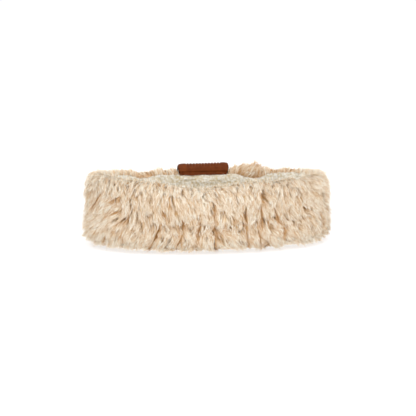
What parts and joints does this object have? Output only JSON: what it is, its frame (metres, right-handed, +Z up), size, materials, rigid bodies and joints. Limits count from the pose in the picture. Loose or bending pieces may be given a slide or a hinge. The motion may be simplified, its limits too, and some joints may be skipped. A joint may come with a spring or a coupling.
{
  "type": "plush headband",
  "caption": "Wide deep-pile headband standing as an open oval loop, with a short fleece lining and a leather label folded over the back rim.",
  "frame": {"origin": "on the floor under the middle of the loop", "axes": "+X along the long axis of the oval, to the wearer's left; +Y to the label at the back; +Z up"},
  "size_m": [0.2422, 0.1342, 0.0728],
  "materials": {
    "long_pile": "deep cream-beige synthetic fur in combed locks, matt",
    "short_fleece": "short off-white curly fleece, matt",
    "brown_leather": "smooth red-brown leather, satin, stitched at the edge"
  },
  "bodies": {
    "root": {"pile_cover": "long_pile", "fleece_lining": "short_fleece", "leather_label": "brown_leather"}
  },
  "joints": []
}
